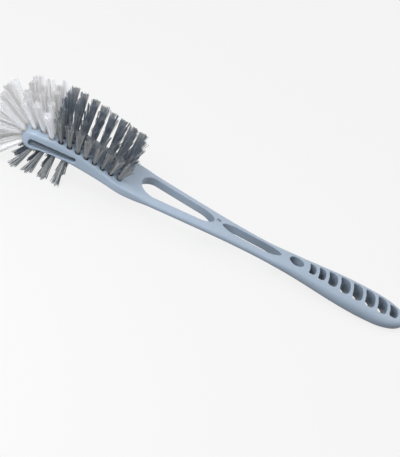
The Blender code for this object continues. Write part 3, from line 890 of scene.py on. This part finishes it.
@dataclass
class PaintedShade:
    """Where little light comes in, as shades from 0 to 1 on the moulding's points.

    front_wall and rear_wall hold the shade of a slot's walls at its start, the shade at its
    end, and the length over which it changes.
    """

    # Painted shade: each point stores how far its base colour darkens where little light comes in.
    SHADE = "painted_shade"

    line: BrushLine
    openings: Openings
    tufts: Sequence[Tuft]
    drill_radius: float
    drill_depth: float
    grid_points: int = 1500
    least_half: float = 1e-6
    wall_start: float = 0.045
    wall_length: float = 0.16
    head_wall: float = 0.97
    front_wall: Triple = (0.11, 0.47, 0.015)
    rear_wall: Triple = (0.17, 0.44, 0.040)
    hole_wall: float = 0.39
    window_wall: float = 0.42
    slot_end_gap: float = 0.002
    slot_margin: float = 0.003
    window_margin: float = 0.001
    pocket_side: float = 0.5
    pocket_middle: float = 1.06
    pocket_swing: float = 0.67
    pocket_lead: float = 0.0063
    pocket_opening: float = 0.014
    under_shade: float = 0.17
    under_start: float = 0.19
    under_length: float = 0.06
    under_top: float = 0.5
    under_fade: float = 1.0
    plate_shade: float = 0.50
    plate_half: float = 0.55
    plate_fade: float = 0.25
    plate_end_fade: float = 0.004
    plate_end_gap: float = 0.001
    upright: float = 0.5
    drill_shade: float = 0.8
    drill_fade: float = 0.5
    drill_margin: float = 1.2
    far_away: float = 9.0
    gate_shade: float = 0.7
    gate_ring: float = 0.8
    gate_ring_half: float = 0.2
    gate_fade: float = 0.5
    gate_facing: tuple[float, float] = (0.77, 0.64)

    def store_shades(self, mesh: bpy.types.Mesh) -> None:
        """Stores a shade on every point of the moulding, before it is laid down.

        Args:
            mesh: The moulding's mesh.
        """
        places = points_of(mesh)
        x, y, z = places.T
        grid = np.linspace(0.0, self.line.body_length, self.grid_points)
        levels = np.array([self.line.heights(at) for at in grid])
        low, high = np.interp(x, grid, levels[:, 0]), np.interp(x, grid, levels[:, 1])
        half = np.interp(x, grid, [self.line.half_width(at) for at in grid])
        power = np.interp(x, grid, [self.line.squareness(at) for at in grid])
        across = np.abs(y) / np.maximum(half, self.least_half)
        raised = (z - (low + high) * 0.5) / np.maximum((high - low) * 0.5, self.least_half)
        inset = 1.0 - (across**power + np.abs(raised) ** power) ** (1.0 / power)
        # Painted shade on the walls of the openings and pockets, darker the deeper a point lies inside.
        walls = self._wall_shade(x) * ramped(inset, self.wall_start, self.wall_length)
        in_head = (x < self.line.neck_x) & (across > self.pocket_side)
        shades = [
            np.where(in_head, walls * self._pocket_light(x, z), walls),
            self._under(x, raised),
            self._plate(x, across, raised),
            self._drilled(places),
            self._gate(x, y, raised),
        ]
        store(mesh, self.SHADE, np.maximum.reduce(shades))

    def _slot_shade(self, x: np.ndarray, end: float, wall: Triple) -> np.ndarray:
        """The shade of a slot's walls at x, from its start to its end."""
        first, last, length = wall
        return mix(first, last, ramped(x, end - self.slot_end_gap - length, length))

    def _wall_shade(self, x: np.ndarray) -> np.ndarray:
        """Picks the shade of the walls.

        Args:
            x: Places along the brush.

        Returns:
            The shade deep inside the opening at each place.
        """
        cuts = self.openings
        zones = [
            (self.line.neck_x, self.head_wall),
            (cuts.front_end + self.slot_margin, self._slot_shade(x, cuts.front_end, self.front_wall)),
            (cuts.rear_end + self.slot_margin, self._slot_shade(x, cuts.rear_end, self.rear_wall)),
            (cuts.first_rib_x - self.window_margin, self.hole_wall),
        ]
        inside = [x < end for end, shade in zones]
        return np.select(inside, [shade for end, shade in zones], self.window_wall)

    def _pocket_light(self, x: np.ndarray, z: np.ndarray) -> np.ndarray:
        """How much of its shade a pocket keeps: less at its front and on its ledge.

        Args:
            x, z: Places along the brush, and heights.

        Returns:
            The factors.
        """
        front_x, front_z, front_half = self.openings.pocket_front
        rear_x, rear_z, rear_half = self.openings.pocket_rear
        run = ramped(x, front_x, rear_x - front_x)
        raised = (z - mix(front_z, rear_z, run)) / mix(front_half, rear_half, run)
        opening = ramped(x, front_x - front_half - self.pocket_lead, self.pocket_opening)
        return opening * np.maximum(self.pocket_middle + self.pocket_swing * raised, 0.0)

    def _under(self, x: np.ndarray, raised: np.ndarray) -> np.ndarray:
        """The shade of the handle's lower side."""
        # Painted shade: the handle's lower side darkens towards its back, from the rear slot on.
        turned_down = ramped(-raised, -self.under_top, self.under_fade)
        return self.under_shade * turned_down * ramped(x, self.under_start, self.under_length)

    def _plate(self, x: np.ndarray, across: np.ndarray, raised: np.ndarray) -> np.ndarray:
        """Shades the bristle face between the tufts.

        Args:
            x: Places along the brush.
            across: Shares of the half width.
            raised: Heights, from -1 at the back to 1 on top.

        Returns:
            The shades.
        """
        # Painted shade on the bristle face between the tufts, where the dense tufts shade it.
        roots = [tuft.root.x for tuft in self.tufts if tuft.direction.z > self.upright]
        shade = (1.0 - ramped(across, self.plate_half, self.plate_fade)) * (raised > 0.0)
        shade *= ramped(x, min(roots), self.plate_end_fade)
        shade *= 1.0 - ramped(x, max(roots) - self.plate_end_gap, self.plate_end_fade)
        return self.plate_shade * shade

    def _drilled(self, places: np.ndarray) -> np.ndarray:
        """Shades the holes of the tufts and their rims.

        Args:
            places: The points.

        Returns:
            The shades.
        """
        # Painted shade in the tufts' holes, fading out over their rims.
        nearest = np.full(len(places), self.far_away)
        for tuft in self.tufts:
            direction = np.array(tuft.direction)
            offset = places - np.array(tuft.root)
            along = offset @ direction
            reach = np.linalg.norm(offset - along[:, None] * direction, axis=1)
            near = np.abs(along) < self.drill_depth * self.drill_margin
            nearest[near] = np.minimum(nearest[near], reach[near] / self.drill_radius)
        return self.drill_shade * (1.0 - ramped(nearest, 1.0, self.drill_fade))

    def _gate(self, x: np.ndarray, y: np.ndarray, raised: np.ndarray) -> np.ndarray:
        """Shades the far side of the round mark between the slots.

        Args:
            x, y: Places along the brush and across.
            raised: Heights, from -1 at the back to 1 on top.

        Returns:
            The shades.
        """
        # Painted shade: a crescent on the far side of the round mark's ring.
        centre_x, centre_y = self.openings.gate_place
        offset = np.stack([x - centre_x, y - centre_y], 1)
        reach = np.linalg.norm(offset, axis=1) / self.openings.gate_radius
        ring = 1.0 - ramped(np.abs(reach - self.gate_ring), self.gate_ring_half, self.gate_fade)
        return self.gate_shade * ring * (offset @ self.gate_facing > 0.0) * (raised > 0.0)


@dataclass
class Moulding:
    """The one-piece head and handle."""

    line: BrushLine
    openings: Openings
    finish: MouldingFinish
    tufts: Sequence[Tuft]
    section_points: int = 88
    station_step: float = 0.0016
    end_stations: int = 14
    drill_radius: float = 0.0021
    drill_depth: float = 0.0050
    drill_rise: float = 3.0
    drill_points: int = 20
    voxel: float = 0.00055
    smoothing: int = 5
    smoothing_share: float = 0.5
    kept_share: float = 0.42

    def _places(self) -> list[float]:
        """Chooses the sections, close together at the two rounded ends.

        Returns:
            Their places along the brush.
        """
        first = self.line.first_turn
        steps = range(self.end_stations)
        shares = [quarter(mix(first, 1.0, step / self.end_stations)) for step in steps]
        nose = [self.line.nose_length * share for share in shares]
        end = [self.line.body_length - self.line.end_round_length * share for share in shares]
        straight = self.line.body_length - self.line.end_round_length
        count = round((straight - self.line.nose_length) / self.station_step)
        middle = [mix(self.line.nose_length, straight, index / count) for index in range(count + 1)]
        return nose + middle + end[::-1]

    def _drill(self, tuft: Tuft) -> bpy.types.Object:
        """Makes the drill of a tuft's hole.

        Args:
            tuft: The tuft.

        Returns:
            A round cutter along the tuft.
        """
        axes = tuft.direction.to_track_quat("Z", "Y").to_matrix()
        rings = []
        for level in (-self.drill_depth, self.drill_radius * self.drill_rise):
            ring = []
            for turn in turns(self.drill_points):
                offset = Vector((math.cos(turn), math.sin(turn), 0.0)) * self.drill_radius
                ring.append(tuft.root + axes @ (offset + Vector((0.0, 0.0, level))))
            rings.append(ring)
        return solid("drill", rings)

    def _add_modifiers(self, body: bpy.types.Object, tools: bpy.types.Collection) -> None:
        """Cuts the body, remeshes it, softens its rims and thins out its faces.

        Args:
            body: The plain body.
            tools: The cutters and the drills.
        """
        cut = body.modifiers.new("cuts", "BOOLEAN")
        cut.operation = "DIFFERENCE"
        cut.solver = "EXACT"
        cut.operand_type = "COLLECTION"
        cut.collection = tools
        skin = body.modifiers.new("skin", "REMESH")
        skin.mode = "VOXEL"
        skin.voxel_size = self.voxel
        soft = body.modifiers.new("soft_rims", "SMOOTH")
        soft.factor = self.smoothing_share
        soft.iterations = self.smoothing
        fewer = body.modifiers.new("fewer_faces", "DECIMATE")
        fewer.ratio = self.kept_share

    def build(self) -> bpy.types.Object:
        """Lofts the moulding, cuts it, softens its rims and lays it down.

        Returns:
            The finished piece.
        """
        body = solid("moulding", [self.line.ring(x, self.section_points) for x in self._places()])
        tools = bpy.data.collections.new("moulding_tools")
        bpy.context.scene.collection.children.link(tools)
        cutters = self.openings.cutters() + [self._drill(tuft) for tuft in self.tufts]
        for cutter in cutters:
            bpy.context.scene.collection.objects.unlink(cutter)
            tools.objects.link(cutter)
        self._add_modifiers(body, tools)
        graph = bpy.context.evaluated_depsgraph_get()
        mesh = bpy.data.meshes.new_from_object(body.evaluated_get(graph), depsgraph=graph)
        body.modifiers.clear()
        body.data = mesh
        for cutter in cutters:
            bpy.data.objects.remove(cutter, do_unlink=True)
        bpy.data.collections.remove(tools)
        painted_shade_marks = PaintedShade(self.line, self.openings, self.tufts, self.drill_radius, self.drill_depth)
        painted_shade_marks.store_shades(mesh)
        mesh.transform(self.line.placing())
        self._flatten(mesh)
        mesh.shade_smooth()
        mesh.materials.clear()
        mesh.materials.append(self.finish.material())
        LOG.info("moulding: %d faces", len(mesh.polygons))
        return body

    @staticmethod
    def _flatten(mesh: bpy.types.Mesh) -> None:
        """Presses whatever hangs below the ground up to it, as the land on the grip.

        Args:
            mesh: The mesh, laid down.
        """
        places = points_of(mesh)
        places[:, 2] = np.maximum(places[:, 2], 0.0)
        mesh.vertices.foreach_set("co", places.ravel())
        mesh.update()


@dataclass
class Filaments:
    """Bundles of nylon filament, each a thin tube that bends away from its tuft."""

    REACH = "reach"
    PAINTED_LIGHT_AND_TONE = "tone"

    placing: Matrix
    material: bpy.types.Material
    clumps: int = 9
    in_clump: int = 7
    clump_share: float = 0.26
    clump_inset: float = 0.6
    radius: float = 0.00021
    root_radius: float = 0.0013
    root_depth: float = 0.0030
    rings: int = 5
    sides: int = 4
    ragged: float = 0.12
    clump_cut: float = 0.5
    cut_power: float = 1.5
    bend: float = 0.0006
    bow_height: float = 2.0
    flare: float = 1.4
    stray_share: float = 0.012
    stray_reach: tuple[float, float] = (1.2, 1.6)
    # facing_swing sets painted light and shade by how a filament faces; the other swings set random tone.
    facing_swing: float = 0.45
    clump_swing: float = 0.22
    strand_tone: float = 0.08
    strand_swing: float = 0.10
    across_limit: float = 0.9
    least_run: float = 1e-9

    @property
    def count(self) -> int:
        """How many filaments a tuft has."""
        return self.clumps * self.in_clump

    @staticmethod
    def _on_disc(turn: np.ndarray, out: np.ndarray) -> np.ndarray:
        """Points of a disc from their turns and their distances from its middle."""
        return np.stack([np.cos(turn) * out, np.sin(turn) * out], 1)

    def _disc(self, draw: np.random.Generator) -> np.ndarray:
        """Draws where the filaments stand in a tuft.

        Args:
            draw: The tuft's random numbers.

        Returns:
            Places in a disc of radius 1, gathered in clumps.
        """
        clump = np.arange(self.clumps)
        turn = clump * GOLDEN_TURN + draw.uniform(0.0, 2.0 * math.pi)
        out = np.sqrt((clump + 0.5) / self.clumps) * (1.0 - self.clump_share * self.clump_inset)
        middles = self._on_disc(turn, out)
        turn = draw.uniform(0.0, 2.0 * math.pi, self.count)
        out = np.sqrt(draw.uniform(0.0, 1.0, self.count)) * self.clump_share
        return np.repeat(middles, self.in_clump, 0) + self._on_disc(turn, out)

    def _tones(self, draw: np.random.Generator, exposure: float, facing: np.ndarray) -> np.ndarray:
        """Draws the tones of a tuft's filaments: painted light and shade with random tone.

        Args:
            draw: The tuft's random numbers.
            exposure: How open to the light the tuft stands.
            facing: How far each filament faces out of the field.

        Returns:
            Tones from 0, dark, to 1, pale.
        """
        of_clump = np.repeat(draw.uniform(-1.0, 1.0, self.clumps), self.in_clump)
        # Painted light and shade: open tufts and filaments facing out of the field are paler, the rest
        # darker.
        painted_light = exposure * (1.0 - self.facing_swing + self.facing_swing * facing)
        own = draw.normal(self.strand_tone, self.strand_swing, self.count)
        return np.clip(painted_light + self.clump_swing * of_clump + own, 0.0, 1.0)

    def _centre_lines(self, tuft: Tuft) -> tuple[np.ndarray, np.ndarray, np.ndarray, np.ndarray]:
        """Draws the filaments of a tuft, which stand in clumps.

        Args:
            tuft: The tuft.

        Returns:
            The centre lines (filament, ring, xyz), two directions across the tuft and a tone
            from 0 to 1 for each filament.
        """
        draw = np.random.default_rng(tuft.seed)
        direction = np.array(tuft.direction)
        upright = abs(direction[1]) < self.across_limit
        side = np.cross(direction, (0.0, 1.0, 0.0) if upright else (1.0, 0.0, 0.0))
        side /= np.linalg.norm(side)
        other = np.cross(direction, side)
        disc = self._disc(draw)
        outward = np.array(tuft.outward)
        tone = self._tones(draw, tuft.exposure, disc @ np.array([side @ outward, other @ outward]))
        spread = disc * tuft.tip_radius
        stray = draw.uniform(0.0, 1.0, self.count) < self.stray_share
        spread[stray] *= draw.uniform(*self.stray_reach, (int(stray.sum()), 1))
        clump_cut = np.repeat(draw.uniform(0.0, self.clump_cut, self.clumps), self.in_clump)
        own_cut = draw.uniform(0.0, 1.0, self.count) ** self.cut_power
        length = tuft.length * (1.0 - self.ragged * (clump_cut + (1.0 - self.clump_cut) * own_cut))
        bow = draw.normal(0.0, self.bend, (self.count, 2))
        share = np.linspace(0.0, 1.0, self.rings)
        fan = share[None, :, None] ** self.flare
        offsets = disc[:, None, :] * self.root_radius * (1.0 - fan) + spread[:, None, :] * fan
        offsets = offsets + bow[:, None, :] * (share * (1.0 - share))[None, :, None] * self.bow_height
        along = -self.root_depth + (length[:, None] + self.root_depth) * share[None, :]
        lines = (
            np.array(tuft.root)
            + along[:, :, None] * direction
            + offsets[:, :, :1] * side
            + offsets[:, :, 1:] * other
        )
        return lines, side, other, tone

    def _laid(self, lines: np.ndarray) -> np.ndarray:
        """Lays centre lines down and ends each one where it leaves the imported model's box.

        Args:
            lines: Centre lines on the brush's own axes.

        Returns:
            The lines where the brush lies.
        """
        turn = np.array(self.placing.to_3x3())
        laid = lines @ turn.T + np.array(self.placing.translation)
        root, run = laid[:, :1], laid[:, -1:] - laid[:, :1]
        low, high = (np.array(corner) for corner in CAD_BOUNDS)
        room = np.where(run > 0.0, high - self.radius - root, low + self.radius - root)
        safe_run = np.where(np.abs(run) < self.least_run, self.least_run, run)
        keep = (room / safe_run).min(axis=2, keepdims=True)
        return root + (laid - root) * np.clip(keep, 0.0, 1.0)

    def _tubes(self, tufts: Sequence[Tuft]) -> tuple[np.ndarray, np.ndarray]:
        """Wraps tubes round the centre lines of tufts.

        Args:
            tufts: The tufts.

        Returns:
            The points (filament, ring, side, xyz) and the tone of each filament.
        """
        turn = np.array(self.placing.to_3x3())
        angles = np.array(turns(self.sides))
        points: list[np.ndarray] = []
        tones: list[np.ndarray] = []
        for tuft in tufts:
            lines, side, other, tone = self._centre_lines(tuft)
            tones.append(tone)
            wall = np.cos(angles)[:, None] * (turn @ side) + np.sin(angles)[:, None] * (turn @ other)
            points.append(self._laid(lines)[:, :, None, :] + wall * self.radius)
        return np.concatenate(points), np.concatenate(tones)

    def build(self, name: str, tufts: Sequence[Tuft]) -> bpy.types.Object:
        """Builds the tufts of one row.

        Args:
            name: The piece's name.
            tufts: Its tufts.

        Returns:
            The piece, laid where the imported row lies.
        """
        tubes, tones = self._tubes(tufts)
        pattern = loft_faces(self.rings, self.sides)
        size = self.rings * self.sides
        faces = np.array(pattern)[None] + (np.arange(len(tubes)) * size)[:, None, None]
        mesh = bpy.data.meshes.new(name)
        mesh.from_pydata(tubes.reshape(-1, 3).tolist(), [], faces.reshape(-1, 4).tolist())
        mesh.shade_smooth()
        ends = np.empty(len(mesh.edges) * 2, dtype=np.int32)
        mesh.edges.foreach_get("vertices", ends)
        ring = ends.reshape(-1, 2) % size // self.sides
        sharp = (ring[:, 0] == ring[:, 1]) & (ring[:, 0] % (self.rings - 1) == 0)
        mesh.attributes.new("sharp_edge", "BOOLEAN", "EDGE").data.foreach_set("value", sharp)
        reach = np.repeat(np.linspace(0.0, 1.0, self.rings), self.sides)
        store(mesh, self.REACH, np.tile(reach, len(tubes)))
        store(mesh, self.PAINTED_LIGHT_AND_TONE, np.repeat(tones, size))
        mesh.materials.append(self.material)
        return added(name, mesh)


@dataclass(frozen=True)
class Row:
    """One row of tufts, or one tuft of the nose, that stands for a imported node."""

    kind: str
    label: str
    slot: Slot
    tufts: Sequence[Tuft]

    @property
    def node(self) -> str:
        """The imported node."""
        return "%s_%s" % (self.kind, self.label)

    @property
    def piece(self) -> str:
        """The name of the piece that replaces it."""
        return "%s_bristles_%s" % (self.kind, self.label)


@dataclass(frozen=True)
class Field:
    """A field of tufts in rows, whose lean and length change from the first row to the last."""

    SEED_STEP = 10
    # Painted light and shade: outer tufts are paler, inner tufts and tufts on the back darker.
    EXPOSURE_POWER = 1.5
    BACK_EXPOSURE = 0.72

    kind: str
    slot: Slot
    side: Side
    upward: float
    first_x: float
    row_pitch: float
    counts: tuple[int, ...]
    widest_count: int
    pitch: float
    splay: float
    leans: tuple[float, float]
    lengths: tuple[float, float]
    tip_radius: float
    seed: int

    def _tuft(self, root: Vector, place: float, share: float, seed: int) -> Tuft:
        """Makes one tuft.

        Args:
            root: Where it stands.
            place: Its place across, from -1 to 1 in a full row.
            share: How far its row is from the first row to the last.
            seed: Its seed.

        Returns:
            The tuft, leant along the brush and splayed by its place across.
        """
        lean = math.radians(mix(*self.leans, share))
        sideways = math.tan(math.radians(self.splay)) * place
        direction = Vector((math.sin(lean), sideways, self.upward * math.cos(lean))).normalized()
        # Painted light and shade from the tuft's place across and its side.
        exposure = abs(place) ** self.EXPOSURE_POWER
        if self.side is Side.BACK:
            exposure *= self.BACK_EXPOSURE
        outward = Vector((0.0, 1.0 if place > 0.0 else -1.0, 0.0))
        length = mix(*self.lengths, share)
        return Tuft(root, direction, length, self.tip_radius, seed, exposure, outward)

    def rows(self, line: BrushLine) -> list[Row]:
        """Plants the field.

        Args:
            line: The moulding that it stands on.

        Returns:
            Its rows, each with its tufts from right to left.
        """
        planted = []
        widest = self.pitch * (self.widest_count - 1) * 0.5
        for index, count in enumerate(self.counts):
            x = self.first_x + self.row_pitch * index
            share = index / max(len(self.counts) - 1, 1)
            tufts = []
            for number in range(count):
                across = self.pitch * (number - (count - 1) * 0.5)
                root = line.face_point(x, across, self.side)
                seed = self.seed + self.SEED_STEP * index + number
                tufts.append(self._tuft(root, across / widest, share, seed))
            planted.append(Row(self.kind, "row_%d" % (index + 1), self.slot, tufts))
        return planted


@dataclass
class Bristles:
    """Every tuft of the brush.

    A tier of the nose has a place as a share of the nose's length, a count, a side and a lean.
    """

    line: BrushLine
    grey: Field = Field(
        kind="grey",
        slot=Slot.GREY,
        side=Side.TOP,
        upward=1.0,
        first_x=0.0333,
        row_pitch=0.0083,
        counts=(5,) * 8,
        widest_count=5,
        pitch=0.0086,
        splay=29.0,
        leans=(-22.0, 8.0),
        lengths=(0.0335, 0.0285),
        tip_radius=0.0050,
        seed=200,
    )
    white: Field = replace(
        grey,
        kind="white",
        slot=Slot.WHITE,
        first_x=grey.first_x - grey.row_pitch,
        row_pitch=-grey.row_pitch,
        counts=(5, 4, 4),
        leans=(-27.0, -37.0),
        lengths=(0.0345, 0.0345),
        seed=100,
    )
    rim: Field = replace(
        grey,
        kind="rim",
        side=Side.BACK,
        upward=-1.0,
        first_x=0.0148,
        row_pitch=0.0094,
        counts=(3,) * 4,
        widest_count=3,
        pitch=0.0120,
        splay=15.0,
        leans=(-22.0, 6.0),
        lengths=(0.0310, 0.0310),
        tip_radius=0.0058,
        seed=600,
    )
    nose: Field = replace(white, kind="nose", lengths=(0.0370, 0.0370), seed=400)
    nose_tiers: tuple[tuple[float, int, Side, float], ...] = (
        (0.120, 4, Side.TOP, -61.0),
        (0.035, 3, Side.BACK, -96.0),
        (0.320, 4, Side.BACK, -134.0),
    )

    def _nose_rows(self) -> list[Row]:
        """Plants the tiers that fan out round the nose.

        Returns:
            A row for each of their tufts.
        """
        tufts: list[Tuft] = []
        for along, count, side, lean in self.nose_tiers:
            place = {"side": side, "first_x": self.line.nose_length * along, "counts": (count,)}
            seed = self.nose.seed + self.nose.SEED_STEP * len(tufts)
            tier = replace(self.nose, leans=(lean, lean), seed=seed, **place)
            tufts.extend(tier.rows(self.line)[0].tufts)
        slot = self.nose.slot
        return [Row("nose", "tuft_%d" % (index + 1), slot, [tuft]) for index, tuft in enumerate(tufts)]

    def rows(self) -> list[Row]:
        """Every row of the brush, from the white field to the rim."""
        fields = self.white.rows(self.line) + self.grey.rows(self.line)
        return fields + self._nose_rows() + self.rim.rows(self.line)


@dataclass(frozen=True)
class Lamp:
    """A square soft lamp that faces the brush."""

    name: str
    place: Triple
    size: float
    power: float

    def hang(self) -> None:
        """Hangs the lamp in the scene."""
        lamp = added(self.name, bpy.data.lights.new(self.name, "AREA"))
        lamp.data.shape = "SQUARE"
        lamp.data.size = self.size
        lamp.data.energy = self.power
        lamp.location = self.place
        lamp.rotation_euler = Vector(self.place).to_track_quat("Z", "Y").to_euler()


@dataclass
class Studio:
    """The pale floor, the soft lamps and the camera."""

    line: BrushLine
    backdrop: Colour = linear(244, 244, 244)
    floor_glow: Colour = linear(248, 248, 248)
    floor_size: float = 30.0
    floor_drop: float = 0.0002
    floor_roughness: float = 0.9
    shown_share: float = 0.88
    floor_tone: Colour = (0.22, 0.22, 0.22, 1.0)
    shown_tone: Colour = (0.80, 0.80, 0.80, 1.0)
    sky_tone: Colour = (1.0, 1.0, 1.0, 1.0)
    sky_strength: float = 0.40
    lamps: tuple[Lamp, ...] = (
        Lamp("top_lamp", place=(0.25, 0.0, 1.8), size=0.9, power=3.5),
        Lamp("near_lamp", place=(-0.42, -0.42, 0.5), size=0.45, power=4.5),
        Lamp("far_lamp", place=(1.0, 0.9, 1.1), size=1.2, power=7.0),
    )
    aim: Triple = (0.17559, 0.00263, -0.00569)
    elevation: float = 30.0
    azimuth: float = 7.5
    roll: float = 31.69
    distance: float = 1.64
    lens: float = 148.44
    film: float = 36.0

    def _camera(self) -> None:
        """Stands the camera where the photograph was taken from."""
        up_angle, turn, roll = (math.radians(v) for v in (self.elevation, self.azimuth, self.roll))
        level = Vector((math.cos(turn), -math.sin(turn), 0.0))
        ahead = Vector((math.sin(turn), math.cos(turn), 0.0))
        back = Vector((0.0, 0.0, 1.0)) * math.sin(up_angle) - ahead * math.cos(up_angle)
        upright = back.cross(level)
        right = level * math.cos(roll) + upright * math.sin(roll)
        up = upright * math.cos(roll) - level * math.sin(roll)
        pose = Matrix((right, up, back)).transposed().to_4x4()
        pose.translation = Vector(self.aim) + back * self.distance
        camera = added("camera", bpy.data.cameras.new("camera"))
        camera.data.sensor_fit = "VERTICAL"
        camera.data.sensor_height = self.film
        camera.data.lens = self.lens
        camera.matrix_world = self.line.placing() @ pose
        bpy.context.scene.camera = camera

    @staticmethod
    def _seen(tree: bpy.types.NodeTree) -> bpy.types.NodeSocket:
        """Tells the rays that show the backdrop, seen, mirrored or let through, from others.

        Args:
            tree: The node tree of a material or of the world.

        Returns:
            A socket that is 1 for those rays.
        """
        path = tree.nodes.new("ShaderNodeLightPath")
        seen = path.outputs["Is Camera Ray"]
        for name in ("Is Glossy Ray", "Is Transmission Ray"):
            either = tree.nodes.new("ShaderNodeMath")
            either.operation = "MAXIMUM"
            tree.links.new(seen, either.inputs[0])
            tree.links.new(path.outputs[name], either.inputs[1])
            seen = either.outputs[0]
        return seen

    def _floor(self) -> None:
        """Lays a pale floor that shows the backdrop's colour and a light shadow."""
        graph = Graph("pale_floor")
        seen = Term(graph, self._seen(graph.tree))
        tone = graph.blend(seen, self.floor_tone, self.shown_tone)
        graph.principled(Base_Color=tone, Roughness=self.floor_roughness, Specular_IOR_Level=0.0)
        glow = graph.node("ShaderNodeEmission", None, {"Color": self.floor_glow, "Strength": 1.0})
        shader = Term(graph, graph.shader.outputs[0])
        mixed = graph.node("ShaderNodeMixShader", None, {0: seen * self.shown_share, 1: shader, 2: glow})
        graph.tree.links.new(mixed.socket, graph.tree.nodes["Material Output"].inputs["Surface"])
        half = self.floor_size * 0.5
        corners = [(-half, -half, 0.0), (half, -half, 0.0), (half, half, 0.0), (-half, half, 0.0)]
        mesh = bpy.data.meshes.new("floor")
        mesh.from_pydata(corners, [], [(0, 1, 2, 3)])
        mesh.materials.append(graph.material)
        floor = added("floor", mesh)
        floor.location.z = -self.floor_drop

    def _sky(self) -> None:
        """Lights the scene evenly and shows the backdrop's colour behind it."""
        world = bpy.data.worlds.new("studio")
        world.use_nodes = True
        tree = world.node_tree
        light = tree.nodes["Background"]
        light.inputs["Color"].default_value = self.sky_tone
        light.inputs["Strength"].default_value = self.sky_strength
        shown = tree.nodes.new("ShaderNodeBackground")
        shown.inputs["Color"].default_value = self.backdrop
        either = tree.nodes.new("ShaderNodeMixShader")
        tree.links.new(self._seen(tree), either.inputs[0])
        tree.links.new(light.outputs[0], either.inputs[1])
        tree.links.new(shown.outputs[0], either.inputs[2])
        tree.links.new(either.outputs[0], tree.nodes["World Output"].inputs["Surface"])
        bpy.context.scene.world = world

    def build(self) -> None:
        """Sets up the floor, the world, the lamps and the camera."""
        self._floor()
        self._sky()
        for lamp in self.lamps:
            lamp.hang()
        self._camera()
        bpy.context.scene.view_settings.view_transform = "Standard"


def dress(piece: bpy.types.Object, nodes: Iterable[str]) -> None:
    """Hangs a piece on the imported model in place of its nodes.

    Args:
        piece: The piece.
        nodes: The nodes that it stands for.
    """
    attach(piece, BODY)
    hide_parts(*nodes)


def main() -> None:
    """Builds the brush and its studio."""
    logging.basicConfig(level=logging.INFO)
    line = BrushLine()
    laid = line.placing()
    kinds = {
        Slot.GREY: Filaments(laid, GREY_NYLON.material()),
        Slot.WHITE: Filaments(
            laid,
            WHITE_NYLON.material(),
            clumps=11,
            in_clump=8,
            clump_share=0.30,
            root_radius=0.0017,
            ragged=0.07,
        ),
    }
    rows = Bristles(line).rows()
    for row in rows:
        piece = kinds[row.slot].build(row.piece, row.tufts)
        dress(piece, [row.node])
        LOG.info("%s: %d tufts", row.piece, len(row.tufts))
    tufts = [tuft for row in rows for tuft in row.tufts]
    moulding = Moulding(line, Openings(line), MouldingFinish(), tufts).build()
    dress(moulding, ["brush_body"])
    Studio(line).build()


if __name__ == "__main__":
    main()
